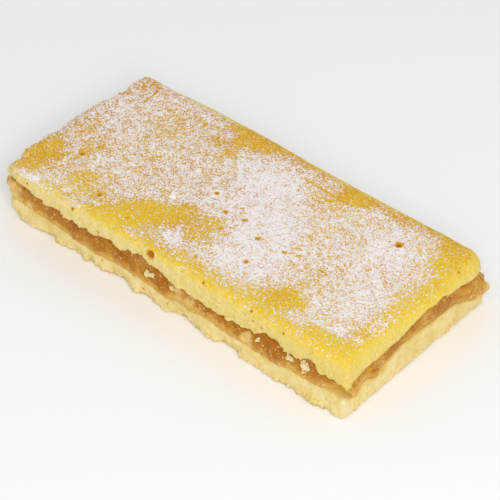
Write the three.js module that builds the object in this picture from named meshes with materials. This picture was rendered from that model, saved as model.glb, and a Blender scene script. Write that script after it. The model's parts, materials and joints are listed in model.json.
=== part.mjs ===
// An oblong apple slice: stewed apple between two slabs of pale shortcrust, cut from a tray bake.
// The long front and the left end are ragged knife cuts, the back and the right end are the soft
// rounded edge of the bake. Millimetres, +Z up, the slice lies flat on z = 0.
//
// Each slab is a stack of closed rings. A ring follows the slab's four sides in plan, set in by so
// many millimetres, and every ring uses the same columns, so that neighbouring slabs keep one gap.
import * as THREE from "three";

// Sides run counter-clockwise seen from above: front, right end, back, left end.
// Corner i lies where side i starts: front left, near (front right), back right, back left.
const SIDE_STEPS = [83, 36, 35, 28];
const CORNER_POINTS = [3, 3, 5, 3];

// Top slab.
const TOP_CORNERS = [[-72.2, -34.2], [71.5, -34.4], [72.5, 35], [-71.2, 34.8]];
const TOP_CORNER_RADII = [2, 1.2, 7, 5];
const CRUST_HEIGHTS = [21, 22, 20.8, 20.8]; // height of the crust over each corner
const CRUST_SWELL = 0.15;
const EDGE_REACH = [2.6, 7, 6, 2.2]; // how far in from each side the rounded upper edge reaches
const EDGE_DROP = [3, 5.5, 6, 2.6]; // and how far down
const UNDERSIDE_HEIGHT = 13.2;
const LOWER_RIM_INSET = 0.7; // the torn lower rim is broken back by this much
const LOWER_RIM_HEIGHT = 0.6;
const LEAST_UPRIGHT = 1.4; // of the side that stays upright below the rounded edge

// Filling, held 0.3 mm clear of both slabs.
const GAP = 0.3;
const FILLING_SETBACK = 2.5; // how far the filling's upper rim lies behind the top slab's sides
const FILLING_LIP = 0.8; // and its lower rim behind the bottom slab's sides
const FRUIT_LUMP = 0.8;
const FILLING_RIM = 3; // from here inwards the filling lies flat on the bottom slab
// Its open side from below upwards: share of its height, and inset from the slabs' outlines.
const FILLING_SIDE = [[0.3, 0.9], [0.55, 1.4], [0.8, 2]];

// Bottom slab.
const BASE_CORNERS = [[-71.5, -32.5], [71.2, -35.3], [71.1, 35], [-71, 34.2]];
const BASE_CORNER_RADII = [2.5, 0.8, 2.5, 3];
const BED_HEIGHT = 7.4; // of its upper face, where the filling lies
const BED_ARRIS = [0.25, 0.3]; // inset and drop of the soft arris round that face
// Its side from below upwards: share of its height, inset, and share of the chips that it shows.
const BASE_SIDE = [[0, 0.7, 1], [0.1, 0.1, 1], [0.42, 0, 0.5], [0.76, 0, 0.1]];

// Where a slab meets its neighbour the torn edge fades into the level inside over this width.
const EDGE_ZONE = 8;

// Heights along each side, as [distance from the side's start, height] pairs, straight in between.
const TOP_LOWER_EDGE = [
  [[0, 16], [6, 16.3], [11, 15], [21, 14.3], [28, 13.3], [33, 14], [38, 13.9], [43.5, 15.2], [51, 13.2],
    [54, 15.9], [58, 16.8], [61.3, 17], [64, 14.4], [70, 14.2], [73, 12.2], [82, 11.8], [92, 11], [107, 12.2],
    [111, 14.5], [118.8, 13.9], [121, 12.2], [125, 12.2], [128, 14.2], [131.4, 14.6], [133.5, 12.3],
    [143.7, 11.6]],
  [[0, 12], [4, 13], [12, 14.6], [15, 13.6], [18, 14.7], [27, 15], [37, 17.2], [43, 18.2], [45, 17],
    [50, 18.4], [53, 16.6], [61, 16.4], [64, 15], [69.4, 14.6]],
  [[0, 14.6], [25, 13.2], [70, 12.6], [110, 13.8], [143.7, 13.6]],
  [[0, 13.6], [20, 12.5], [45, 13.6], [60, 14.8], [69, 16]],
];
const BED_EDGE = [
  [[0, 7.6], [11, 6.8], [21, 6.3], [31, 5.7], [38, 5.1], [46, 5.9], [51, 6.8], [54.5, 5.7], [57, 6.6],
    [66, 5], [70, 5], [74.5, 6.7], [78.5, 5.6], [86.5, 7.1], [92.5, 5.6], [101, 6.1], [116, 5.6], [121, 7.2],
    [129, 6.9], [134, 7.6], [142.4, 8.2]],
  [[0, 8.2], [3, 6.2], [6.5, 5.8], [9.5, 8.4], [16, 6.8], [20, 8.2], [24, 9.6], [30, 10.3], [37, 10.4],
    [44, 9.3], [55, 9.2], [62, 7.2], [70, 6.4]],
  [[0, 6.4], [30, 7.6], [90, 6.8], [141.8, 7.2]],
  [[0, 7.2], [30, 6.6], [66.4, 7.6]],
];

// How far the top slab's sides stand in from its outline (minus: stand proud). The front end of the
// left side has a bite broken out, with a knob beside it.
const TOP_CHIPS = [
  [[0, 1.3], [4, 0.4], [8, 0], [143.7, 0]],
  [[0, 0], [69.4, 0]],
  [[0, 0], [70, 0], [95, -0.6], [115, -0.8], [128, -0.2], [136, 0.8], [143.7, 1.5]],
  [[0, 1], [6, -0.4], [12, 0.2], [24, -0.6], [34, -0.2], [40, 0.7], [48, 0], [56, -0.2], [60.6, -1.1],
    [63.5, 3.5], [66, 2.4], [69, 1.3]],
];

// The same for the bottom slab's bottom edge.
const BASE_CHIPS = [
  [[0, 0.6], [4, -0.5], [11, -0.4], [14, 0.6], [17, 0.6], [22.5, -0.6], [28.5, 1], [34, -0.1], [42.5, -0.5],
    [46.5, 1.6], [50, 1.7], [52.5, 0.4], [56.5, -0.4], [61, 0.3], [68.5, -0.6], [71, 0], [74, 1.6], [78, 1],
    [88, -0.4], [94, 0.7], [101, 1], [102.5, -1.2], [108, -0.6], [114, -1], [120, -0.4], [126, -0.6],
    [131, -1.3], [134.5, 0], [139, -0.2], [142.4, 0]],
  [[0, 0], [35, 0], [46, 0.5], [52, -0.1], [58, 0.3], [70, 0.1]],
  [[0, 0.3], [141.8, 0.3]],
  [[0, 0.4], [25, -0.4], [66.4, 0.6]],
];

// Teeth of dough that hang from the top slab's cut front: [distance, length, half width].
const HANGING_TEETH = [[40, 1.7, 2], [56.6, 1.9, 1.2], [123, 0.5, 1.2]];

// Soft fruit pushed out past the slabs: side, distance along it, reach, half width, height share.
const FRUIT_BULGES = [
  { side: 1, at: 65, reach: 5.2, halfWidth: 8, level: 0.6 },
  { side: 0, at: 1, reach: 2.4, halfWidth: 4, level: 0.7 },
  { side: 3, at: 66, reach: 1, halfWidth: 5, level: 0.7 },
  { side: 1, at: 14, reach: 1, halfWidth: 3, level: 0.2 },
  { side: 2, at: 48, reach: 1.6, halfWidth: 6, level: 0.4 },
  { side: 3, at: 24, reach: 1.4, halfWidth: 5, level: 0.4 },
];

const lerp = THREE.MathUtils.lerp;
const smooth = (x) => THREE.MathUtils.smoothstep(x, 0, 1);

// Straight-line reading of a list of [distance, value] pairs.
function along(pairs, distance) {
  const next = pairs.findIndex((pair) => pair[0] >= distance);
  if (next === 0) return pairs[0][1];
  if (next < 0) return pairs.at(-1)[1];
  const [from, fromValue] = pairs[next - 1];
  const [to, toValue] = pairs[next];
  return lerp(fromValue, toValue, (distance - from) / (to - from));
}

// A sum of waves with seeded phases, each wave [length in mm, height in mm]. Torn waves have sharp
// crests, as torn dough has.
function waves(seed, lengths, torn) {
  let state = seed;
  const random = () => {
    state = (state * 48271) % 2147483647;
    return state / 2147483647;
  };
  const set = lengths.map(([length, height]) => {
    const heading = random() * Math.PI;
    return { length, height, phase: random() * 2 * Math.PI, heading };
  });
  return (x, y = 0) =>
    set.reduce((sum, w) => {
      const across = y === 0 ? x : x * Math.cos(w.heading) + y * Math.sin(w.heading);
      const turn = (2 * Math.PI * across) / w.length + w.phase;
      return sum + w.height * (torn ? 1 - 2 * Math.abs(Math.sin(turn / 2)) : Math.sin(turn));
    }, 0);
}

const bump = (distance, halfWidth) => Math.max(0, 1 - Math.abs(distance) / halfWidth);

// The four corners of an outline with each side moved in by the inset.
function insetCorners(corners, inset) {
  const sides = corners.map((start, i) => {
    const end = corners[(i + 1) % 4];
    const direction = new THREE.Vector2(end[0] - start[0], end[1] - start[1]).normalize();
    const inward = new THREE.Vector2(-direction.y, direction.x);
    return { point: new THREE.Vector2(...start).addScaledVector(inward, inset), direction };
  });
  return sides.map((side, i) => {
    const before = sides[(i + 3) % 4];
    const offset = side.point.clone().sub(before.point);
    const reach = offset.cross(side.direction) / before.direction.cross(side.direction);
    return before.point.clone().addScaledVector(before.direction, reach);
  });
}

// The columns that all rings share: a few round each corner, then evenly along the side after it.
function makeColumns() {
  const columns = [];
  for (let side = 0; side < 4; side++) {
    for (let k = 0; k < CORNER_POINTS[side]; k++)
      columns.push({ side, arc: k / (CORNER_POINTS[side] - 1) });
    for (let k = 1; k < SIDE_STEPS[side]; k++) columns.push({ side, share: k / SIDE_STEPS[side] });
  }
  return columns;
}
const columns = makeColumns();

// A point of an outline in plan, for one column and one inset.
function planPoint(outline, column, inset) {
  const corners = insetCorners(outline.corners, inset);
  const i = column.side;
  const [before, corner, after] = [corners[(i + 3) % 4], corners[i], corners[(i + 1) % 4]];
  const leave = after.clone().sub(corner).normalize();
  const arrive = corner.clone().sub(before).normalize();
  const radius = (index) => Math.max(outline.radii[index % 4] - Math.max(inset, 0), 0.3);
  if (column.arc === undefined) {
    const start = corner.clone().addScaledVector(leave, radius(i));
    const end = after.clone().addScaledVector(leave, -radius(i + 1));
    return start.lerp(end, column.share);
  }
  const turn = (column.arc * Math.PI) / 2;
  return corner
    .clone()
    .addScaledVector(arrive, radius(i) * (Math.sin(turn) - 1))
    .addScaledVector(leave, radius(i) * (1 - Math.cos(turn)));
}

// A side's table read at a column; round a corner it is the mean of the two sides that meet.
function readTable(tables, column) {
  const own = tables[column.side];
  if (column.arc === undefined) return along(own, column.share * own.at(-1)[0]);
  return (own[0][1] + tables[(column.side + 3) % 4].at(-1)[1]) / 2;
}

// One value per side, eased into the next side's over the last tenth of each.
function readSides(values, column) {
  const own = values[column.side];
  const before = values[(column.side + 3) % 4];
  const after = values[(column.side + 1) % 4];
  if (column.arc !== undefined) return (own + before) / 2;
  const ease = (distance) => 0.5 * (1 - smooth(distance / 0.1));
  const towardsBefore = ease(column.share);
  const towardsAfter = ease(1 - column.share);
  return own + (before - own) * towardsBefore + (after - own) * towardsAfter;
}

// Millimetres round the outline up to each column, for relief that runs on past the corners.
const topOutline = { corners: TOP_CORNERS, radii: TOP_CORNER_RADII };
const baseOutline = { corners: BASE_CORNERS, radii: BASE_CORNER_RADII };
columns.reduce((sum, column, i) => {
  const here = planPoint(topOutline, column, 0);
  const next = planPoint(topOutline, columns[(i + 1) % columns.length], 0);
  column.round = sum;
  return sum + here.distanceTo(next);
}, 0);
const sideLength = (side) => TOP_LOWER_EDGE[side].at(-1)[0];
const distanceAlong = (column) => (column.share ?? 0) * sideLength(column.side);

const tornEdge = waves(11, [[5.3, 0.22], [3.4, 0.2]], true);
const tornBase = waves(23, [[4.3, 0.18], [2.9, 0.16]], true);
const sideDimples = waves(37, [[6.1, 0.12], [4.3, 0.1]], false);
const crustSwell = waves(41, [[61, 1], [37, 0.7], [23, 0.4]], false);
const fruitLumps = waves(53, [[9.7, 0.5], [6.3, 0.4], [4.1, 0.3]], false);

// Cut sides are torn, baked sides hardly.
const tornness = (column) => readSides([1, 0.35, 0.3, 1], column);

// Height of the crust at a place, from its height over the corners and a slow swell.
function crustHeight(point) {
  const acrossShare = (point.x - TOP_CORNERS[0][0]) / (TOP_CORNERS[1][0] - TOP_CORNERS[0][0]);
  const backShare = (point.y - TOP_CORNERS[1][1]) / (TOP_CORNERS[2][1] - TOP_CORNERS[1][1]);
  const front = lerp(CRUST_HEIGHTS[0], CRUST_HEIGHTS[1], acrossShare);
  const back = lerp(CRUST_HEIGHTS[3], CRUST_HEIGHTS[2], acrossShare);
  return lerp(front, back, backShare) + CRUST_SWELL * crustSwell(point.x, point.y);
}

function hangingTeeth(column) {
  if (column.side !== 0 || column.arc !== undefined) return 0;
  const distance = distanceAlong(column);
  return HANGING_TEETH.reduce((sum, [at, length, half]) => sum + length * bump(distance - at, half), 0);
}

const lowerEdge = (column) =>
  readTable(TOP_LOWER_EDGE, column) - hangingTeeth(column) + tornness(column) * tornEdge(column.round);
const bedEdge = (column) => readTable(BED_EDGE, column) + 0.5 * tornness(column) * tornEdge(column.round);

// The two faces that the filling lies between, at a column and an inset.
const intoSlab = (inset) => smooth(inset / EDGE_ZONE);
const underside = (column, inset) => lerp(lowerEdge(column), UNDERSIDE_HEIGHT, intoSlab(inset));
const bed = (column, inset) => lerp(bedEdge(column), BED_HEIGHT, intoSlab(inset));

// A ring of points: every so many columns, at an inset and a height that may differ by column.
function ring(outline, every, insetOf, heightOf) {
  return columns
    .filter((_, i) => i % every === 0)
    .map((column) => {
      const inset = insetOf(column);
      const point = planPoint(outline, column, inset);
      return new THREE.Vector3(point.x, point.y, heightOf(column, inset, point));
    });
}

// Rings inwards over a face, each with half the columns of the one outside it.
const INNER_RINGS = [[2, EDGE_ZONE], [4, 16], [8, 26]];
const innerRings = (outline, heightOf) =>
  INNER_RINGS.map(([every, inset]) => ring(outline, every, () => inset, heightOf));

// One closed surface through all the rings, from the middle of the underside out, up and back in.
function shell(rings) {
  const starts = [];
  const points = [];
  for (const one of rings) {
    starts.push(points.length);
    points.push(...one);
  }
  const faces = [];
  const cap = (one, start, up) => {
    const flat = one.map((point) => new THREE.Vector2(point.x, point.y));
    for (const [a, b, c] of THREE.ShapeUtils.triangulateShape(flat, []))
      faces.push(start + a, start + (up ? b : c), start + (up ? c : b));
  };
  cap(rings[0], starts[0], false);
  cap(rings.at(-1), starts.at(-1), true);
  for (let k = 1; k < rings.length; k++) {
    const [below, above] = [rings[k - 1].length, rings[k].length];
    const steps = Math.min(below, above);
    const low = (j) => starts[k - 1] + (j % below);
    const high = (j) => starts[k] + (j % above);
    for (let j = 0; j < steps; j++) {
      if (below === above) {
        faces.push(low(j), low(j + 1), high(j), low(j + 1), high(j + 1), high(j));
      } else if (below > above) {
        faces.push(low(2 * j), low(2 * j + 1), high(j), low(2 * j + 1), high(j + 1), high(j));
        faces.push(low(2 * j + 1), low(2 * j + 2), high(j + 1));
      } else {
        faces.push(low(j), high(2 * j + 1), high(2 * j), low(j), low(j + 1), high(2 * j + 1));
        faces.push(low(j + 1), high(2 * j + 2), high(2 * j + 1));
      }
    }
  }
  const geometry = new THREE.BufferGeometry().setFromPoints(points).setIndex(faces);
  geometry.computeVertexNormals();
  return geometry;
}

// Top slab: torn lower edge, a nearly upright side, then an upper edge rounded as a quarter ellipse.
function topSlab() {
  const reach = (column) => readSides(EDGE_REACH, column);
  const broken = (column) => readTable(TOP_CHIPS, column) + tornness(column) * sideDimples(column.round);
  const crustOver = (column) => crustHeight(planPoint(topOutline, column, reach(column)));
  const roundFrom = (column) => {
    const lowest = lowerEdge(column) + LEAST_UPRIGHT;
    return Math.max(crustOver(column) - readSides(EDGE_DROP, column), lowest);
  };
  const sideRing = (inset, height) => ring(topOutline, 1, (c) => broken(c) + inset(c), height);
  const roundRing = (degrees) => {
    const turn = THREE.MathUtils.degToRad(degrees);
    return sideRing(
      (c) => reach(c) * (1 - Math.cos(turn)),
      (c) => lerp(roundFrom(c), crustOver(c), Math.sin(turn)),
    );
  };
  const rimTop = (column) => lowerEdge(column) + LOWER_RIM_HEIGHT;
  const onCrust = (column, inset, point) => crustHeight(point);
  return shell([
    ...innerRings(topOutline, underside).reverse(),
    ring(topOutline, 1, () => FILLING_SETBACK, (c) => underside(c, FILLING_SETBACK)),
    sideRing(() => LOWER_RIM_INSET, lowerEdge),
    sideRing((c) => 0.25 * tornness(c), rimTop),
    sideRing((c) => -sideDimples(c.round + 5), (c) => lerp(rimTop(c), roundFrom(c), 0.5)),
    roundRing(0),
    roundRing(30),
    roundRing(60),
    sideRing(reach, crustOver),
    ring(topOutline, 2, () => 12, onCrust),
    ring(topOutline, 4, () => 19, onCrust),
    ring(topOutline, 8, () => 27, onCrust),
  ]);
}

// Filling: lumpy apple between the slabs, its open side leaning out from under the top slab.
function filling() {
  const bulge = (column, level) =>
    FRUIT_BULGES.filter((one) => one.side === column.side).reduce((sum, one) => {
      const spread = smooth(bump(distanceAlong(column) - one.at, one.halfWidth));
      return sum + one.reach * spread * bump(level - one.level, 0.8);
    }, 0);
  const lump = (column, level) => FRUIT_LUMP * fruitLumps(column.round + 17 * level);
  const top = (column) => underside(column, FILLING_SETBACK) - GAP;
  const foot = (column) => bed(column, FILLING_LIP) + GAP;
  const openRing = (level, inset) => {
    const lower = ring(baseOutline, 1, (c) => inset - bulge(c, level) - lump(c, level), foot);
    const upper = ring(topOutline, 1, (c) => inset - bulge(c, level) - lump(c, level), top);
    return lower.map((point, i) => point.lerp(upper[i], level));
  };
  return shell([
    ...innerRings(baseOutline, (c, inset) => bed(c, inset) + GAP).reverse(),
    ring(baseOutline, 1, () => FILLING_RIM, (c) => bed(c, FILLING_RIM) + GAP),
    ring(baseOutline, 1, () => FILLING_LIP, foot),
    ...FILLING_SIDE.map(([level, inset]) => openRing(level, inset)),
    ring(topOutline, 1, () => FILLING_SETBACK, top),
    ...innerRings(topOutline, (c, inset) => underside(c, inset) - GAP),
  ]);
}

// Bottom slab: flat underneath, its bottom edge chipped, its upper face dipped towards the cuts.
function bottomSlab() {
  const chips = (column) => readTable(BASE_CHIPS, column) + tornness(column) * tornBase(column.round);
  const sideRing = ([heightShare, inset, chipShare]) =>
    ring(baseOutline, 1, (c) => inset + chipShare * chips(c), (c) => heightShare * bedEdge(c));
  const [arrisInset, arrisDrop] = BED_ARRIS;
  const flat = () => 0;
  return shell([
    ...INNER_RINGS.map(([every, inset]) => ring(baseOutline, every, () => inset, flat)).reverse(),
    ...BASE_SIDE.map(sideRing),
    ring(baseOutline, 1, () => arrisInset, (c) => bed(c, arrisInset) - arrisDrop),
    ...[FILLING_LIP, FILLING_RIM].map((inset) => ring(baseOutline, 1, () => inset, (c) => bed(c, inset))),
    ...innerRings(baseOutline, bed),
  ]);
}

const crustMaterial = new THREE.MeshStandardMaterial({ color: "#e6c65a", roughness: 0.85, metalness: 0 });
const fillingMaterial = new THREE.MeshStandardMaterial({ color: "#b87a2b", roughness: 0.35, metalness: 0 });
const baseMaterial = new THREE.MeshStandardMaterial({ color: "#e4d086", roughness: 0.9, metalness: 0 });

const slice = new THREE.Group();
for (const [name, geometry, material] of [
  ["top_pastry", topSlab(), crustMaterial],
  ["apple_filling", filling(), fillingMaterial],
  ["bottom_pastry", bottomSlab(), baseMaterial],
]) {
  const mesh = new THREE.Mesh(geometry, material);
  mesh.name = name;
  slice.add(mesh);
}

// The origin is the middle of the slice's footprint, on the surface that it lies on.
const middle = new THREE.Box3().setFromObject(slice).getCenter(new THREE.Vector3());
slice.position.set(-middle.x, -middle.y, 0);

export default slice;
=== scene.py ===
"""Looks for an apple slice pastry: stewed apple between slabs of shortcrust, dusted with icing sugar."""

import json
import math

import bpy
import numpy as np
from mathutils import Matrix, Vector, noise
from mathutils.bvhtree import BVHTree
from mathutils.kdtree import KDTree

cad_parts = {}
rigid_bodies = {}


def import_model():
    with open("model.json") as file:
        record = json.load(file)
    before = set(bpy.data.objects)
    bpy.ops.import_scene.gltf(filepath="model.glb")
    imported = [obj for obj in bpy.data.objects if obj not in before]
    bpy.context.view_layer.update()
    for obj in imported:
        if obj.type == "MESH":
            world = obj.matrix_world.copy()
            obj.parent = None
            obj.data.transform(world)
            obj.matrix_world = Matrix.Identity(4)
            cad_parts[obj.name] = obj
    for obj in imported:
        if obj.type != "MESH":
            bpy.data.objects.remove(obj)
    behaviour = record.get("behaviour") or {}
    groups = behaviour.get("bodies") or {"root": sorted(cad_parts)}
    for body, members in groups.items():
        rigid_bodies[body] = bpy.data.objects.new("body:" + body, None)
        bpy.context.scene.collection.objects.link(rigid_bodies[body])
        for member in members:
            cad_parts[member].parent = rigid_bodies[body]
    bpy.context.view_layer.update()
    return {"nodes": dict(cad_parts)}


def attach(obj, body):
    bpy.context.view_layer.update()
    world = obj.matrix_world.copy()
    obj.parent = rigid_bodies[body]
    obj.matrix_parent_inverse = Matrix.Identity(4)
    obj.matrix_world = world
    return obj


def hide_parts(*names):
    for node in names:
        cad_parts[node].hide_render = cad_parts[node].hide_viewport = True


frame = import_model()
MM = 0.001


# Camera -------------------------------------------------------------------------------------------
# A long lens looks down on the slice from its front right corner, as in the photograph. A small
# shift frames the slice as the photograph does.

VIEW_AZIMUTH = math.radians(41.2)
VIEW_ELEVATION = math.radians(41.2)
VIEW_DISTANCE = 759.7 * MM
LENS_MM = 171.2
SENSOR_MM = 36
AIM = Vector((-1.23, 0.25, 0)) * MM

towards_camera = Vector((
    math.sin(VIEW_AZIMUTH) * math.cos(VIEW_ELEVATION),
    -math.cos(VIEW_AZIMUTH) * math.cos(VIEW_ELEVATION),
    math.sin(VIEW_ELEVATION),
))
lens = bpy.data.cameras.new("long_lens")
lens.lens = LENS_MM
lens.sensor_width = SENSOR_MM
lens.shift_x = 0.019
lens.shift_y = 0.0146
lens.clip_start = 0.05
camera = bpy.data.objects.new("camera", lens)
camera.location = AIM + towards_camera * VIEW_DISTANCE
camera.rotation_euler = towards_camera.to_track_quat("Z", "Y").to_euler()
bpy.context.collection.objects.link(camera)
bpy.context.scene.camera = camera


# Bottom slab --------------------------------------------------------------------------------------
# The lower layer of the tray bake: pale shortcrust, browned only where it lay on the tray. Its sides
# are ragged, mealy and pitted, and juice from the fruit has soaked into their upper edge.

BASE_VOXEL = 0.5 * MM
BASE_LUMP = 0.16  # mm that the soft lumps of the sides stand proud
BASE_TEAR = 0.3  # mm of the torn grain on top of them
BASE_RAGGED = 0.8  # mm that its lower edge is torn out and in
HIDDEN_INSET = 5  # mm inside the outline from which a layer is covered by its neighbour
BASE_CHUNKS = [  # x, z, reach, amount of crumb that stands out or has broken away at the front
    (-70.8, 4.8, 3.5, 0.8), (-71, 0.4, 3, -1.1), (-71.5, 7.6, 1.8, -0.6), (-49, 0.8, 2.4, 0.7),
    (-46.8, 0.8, 1.4, -0.4), (-44.7, 0.8, 2, 0.5), (-38.5, 0.8, 2.4, 0.5), (-35, 0.8, 2.5, -0.5),
    (-15.7, 0.8, 2, 0.6), (-10.5, 0.8, 3, -0.5), (-2, 1, 4, 0.6), (5, 0.8, 2.5, -0.5), (14.5, 1, 4, 0.5),
    (18.6, 0.8, 1.3, 0.8), (22, 1, 2.5, -0.6), (29, 1.2, 1.5, 1.2), (31.5, 1, 1.5, -0.5),
    (59.5, 1, 3, 0.8), (64, 0.8, 1.8, -0.7), (67, 0.8, 1.8, 0.3),
]
BASE_PITS = [  # x, y, z, width, depth
    (-30.2, -33.5, 4.2, 1, 0.4), (-1.5, -34, 3.2, 0.9, 0.4), (-43.7, -33.4, 5.5, 1, 0.4),
    (63.3, -34.8, 4.5, 0.9, 0.4), (-12.2, -34, 2.8, 1.6, 0.5), (22, -34.4, 2.6, 1.1, 0.4),
]
BASE_PORES = 30
JUICE_REACH = 1.7  # mm that juice has soaked down from the filling


def pick(piece):
    """Makes a piece the only thing that operators act on."""
    for thing in bpy.context.view_layer.objects:
        thing.select_set(False)
    piece.select_set(True)
    bpy.context.view_layer.objects.active = piece


def places(piece):
    """A piece's vertices as rows of x, y and z."""
    found = np.empty(len(piece.data.vertices) * 3)
    piece.data.vertices.foreach_get("co", found)
    return found.reshape(-1, 3)


def directions(piece):
    """The way that the surface faces at each vertex, summed up in the same order at each run."""
    piece.data.calc_loop_triangles()
    triangles = np.empty(len(piece.data.loop_triangles) * 3, np.int32)
    piece.data.loop_triangles.foreach_get("vertices", triangles)
    triangles = triangles.reshape(-1, 3)
    points = places(piece)
    a, b, c = points[triangles.T]
    facing = np.cross(b - a, c - a)
    total = np.zeros_like(points)
    for corner in triangles.T:
        np.add.at(total, corner, facing)
    return total / np.maximum(np.linalg.norm(total, axis=1), 1e-15)[:, None]


def move_to(piece, points):
    piece.data.vertices.foreach_set("co", points.ravel())
    piece.data.update()


def select_faces(piece, chosen):
    """Goes into edit mode with only the chosen faces selected."""
    pick(piece)
    bpy.context.tool_settings.mesh_select_mode = (False, False, True)
    piece.data.vertices.foreach_set("select", np.zeros(len(piece.data.vertices), bool))
    piece.data.edges.foreach_set("select", np.zeros(len(piece.data.edges), bool))
    piece.data.polygons.foreach_set("select", chosen)
    bpy.ops.object.mode_set(mode="EDIT")


def dough_from(node, name, voxel, covered):
    """An evenly meshed copy of a CAD node: finer on its sides, sparse where a neighbour covers it."""
    piece = bpy.data.objects.new(name, frame["nodes"][node].data.copy())
    bpy.context.collection.objects.link(piece)
    piece.data.materials.clear()
    select_faces(piece, np.ones(len(piece.data.polygons), bool))
    bpy.ops.mesh.remove_doubles(threshold=0.001 * MM)
    bpy.ops.object.mode_set(mode="OBJECT")
    even = piece.modifiers.new("even mesh", "REMESH")
    even.mode = "VOXEL"
    even.voxel_size = voxel
    bpy.ops.object.modifier_apply(modifier=even.name)
    soften = piece.modifiers.new("soften", "SMOOTH")
    soften.iterations = 2
    bpy.ops.object.modifier_apply(modifier=soften.name)

    centres = np.empty(len(piece.data.polygons) * 3)
    piece.data.polygons.foreach_get("center", centres)
    centres = centres.reshape(-1, 3)
    facing = np.empty(len(piece.data.polygons) * 3)
    piece.data.polygons.foreach_get("normal", facing)
    facing = facing.reshape(-1, 3)
    half = np.abs(centres[:, :2]).max(axis=0) - HIDDEN_INSET * MM
    inside = (np.abs(centres[:, :2]) < half).all(axis=1)
    hidden = inside & np.logical_or.reduce([facing[:, 2] * side > 0.8 for side in covered])
    upright = np.abs(facing[:, 2]) < 0.75

    select_faces(piece, upright)
    bpy.ops.mesh.subdivide(number_cuts=1, smoothness=0)
    bpy.ops.object.mode_set(mode="OBJECT")
    hidden = np.concatenate([hidden, np.zeros(len(piece.data.polygons) - len(hidden), bool)])
    select_faces(piece, hidden)
    bpy.ops.mesh.decimate(ratio=0.08)
    bpy.ops.object.mode_set(mode="OBJECT")
    return piece


def lumps(points, size, seed, octaves=2):
    """Soft noise between about -1 and 1, its lumps the given number of millimetres across."""
    shifted = points / (size * MM) + seed * 17.3
    return np.array([noise.fractal(point, 1.0, 2.1, octaves) for point in shifted])


def tears(points, size, seed, octaves=3):
    """Noise from 0 to about 1 with sharp ridges, as torn dough has."""
    shifted = points / (size * MM) + seed * 11.7
    return np.array([noise.turbulence(point, octaves, True) for point in shifted])


def shake(points, size, seed):
    """Noise that moves each point its own way, by up to about 1."""
    noise.seed_set(1)  # without this the vector noise is seeded by the clock
    shifted = points / (size * MM) + seed * 13.1
    return np.array([noise.turbulence_vector(point, 2, False) for point in shifted])


def ease(values, low, high):
    """0 below low, 1 above high, and a soft step between them."""
    share = np.clip((values - low) / (high - low), 0, 1)
    return share * share * (3 - 2 * share)


def dig(points, outward, pits):
    """Presses round pits into a surface, each round the vertex nearest to its place. Returns how far
    inside a pit each point lies, which the materials paint darker as shade.
    """
    depth_of_shade = np.zeros(len(points))
    for *place, width, depth in pits:
        nearest = np.linalg.norm(points - np.array(place) * MM, axis=1).argmin()
        reach = np.linalg.norm(points - points[nearest], axis=1) / (0.5 * width * MM)
        points -= outward * (depth * MM * np.clip(1 - reach**2, 0, 1))[:, None]
        depth_of_shade = np.maximum(depth_of_shade, np.clip((1.15 - reach) / 0.5, 0, 1))
    return depth_of_shade


def random_pits(points, where, count, widths, seed):
    """Pits at random vertices of the region where the mask is true."""
    draw = np.random.default_rng(seed)
    chosen = draw.choice(np.flatnonzero(where), count)
    sizes = draw.uniform(*widths, count)
    return [(*points[i] / MM, size, 0.35 * size) for i, size in zip(chosen, sizes)]


def distance_to(node, points):
    """How far each point is from a CAD node's surface, in millimetres."""
    mesh = frame["nodes"][node].data
    surface = BVHTree.FromPolygons(
        [vertex.co for vertex in mesh.vertices], [tuple(face.vertices) for face in mesh.polygons],
    )
    return np.array([surface.find_nearest(Vector(point))[3] for point in points]) / MM


def paint(piece, name, values):
    """Writes one number for each vertex, which the piece's material reads by this name."""
    layer = piece.data.attributes.new(name, "FLOAT", "POINT")
    layer.data.foreach_set("value", np.asarray(values, np.float32))


def linear(hex_colour):
    """An sRGB hex colour as the linear RGBA that Blender's sockets take."""
    channels = [int(hex_colour[i:i + 2], 16) / 255 for i in (1, 3, 5)]
    return [c / 12.92 if c <= 0.04045 else ((c + 0.055) / 1.055) ** 2.4 for c in channels] + [1]


def add_node(tree, kind, inputs, outlet=0, **settings):
    """Adds a node and returns its output. An input is a value, or the output that feeds it."""
    node = tree.nodes.new(kind)
    for name, value in settings.items():
        setattr(node, name, value)
    sockets = [socket for socket in node.inputs if socket.enabled]
    for key, value in inputs.items():
        socket = sockets[key] if isinstance(key, int) else next(s for s in sockets if s.name == key)
        if isinstance(value, bpy.types.NodeSocket):
            tree.links.new(value, socket)
        else:
            socket.default_value = value
    return [socket for socket in node.outputs if socket.enabled][outlet]


def new_material(piece, name):
    """Gives the piece a new material; returns its node tree, its shader and object coordinates."""
    material = bpy.data.materials.new(name)
    material.use_nodes = True
    piece.data.materials.append(material)
    tree = material.node_tree
    where = add_node(tree, "ShaderNodeTexCoord", {}, outlet=3)
    return tree, tree.nodes["Principled BSDF"], where


def per_mm(size):
    """The scale at which a noise texture's lumps measure this many millimetres."""
    return 1 / (size * MM)


base = dough_from("bottom_pastry", "base_shortcrust", BASE_VOXEL, covered=(1, -1))
points = places(base)
outward = directions(base)
upright = 1 - ease(np.abs(outward[:, 2]), 0.75, 0.98)
near_fruit = distance_to("apple_filling", points)
height = points[:, 2] / MM
foot = upright * (1 - ease(height, 0.6, 2.4))
foot_tear = foot * (0.35 + 0.65 * ease(lumps(points, 7, 21), -0.3, 0.3))
foot_tear *= 1 - 0.65 * ease(points[:, 0] / MM, 66, 70)
points += outward * (upright * BASE_LUMP * MM * lumps(points, 2.6, 1))[:, None]
points += outward * (upright * BASE_TEAR * MM * (0.5 - tears(points, 1.3, 2)))[:, None]
points += outward * (1, 1, 0) * (foot * ease(-outward[:, 2], 0, 0.6) * 0.3 * MM)[:, None]
front = ease(-outward[:, 1] - 0.5 * outward[:, 0], 0, 0.5) * upright
front *= 1 - ease(points[:, 0] / MM, 68, 70.5)
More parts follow.
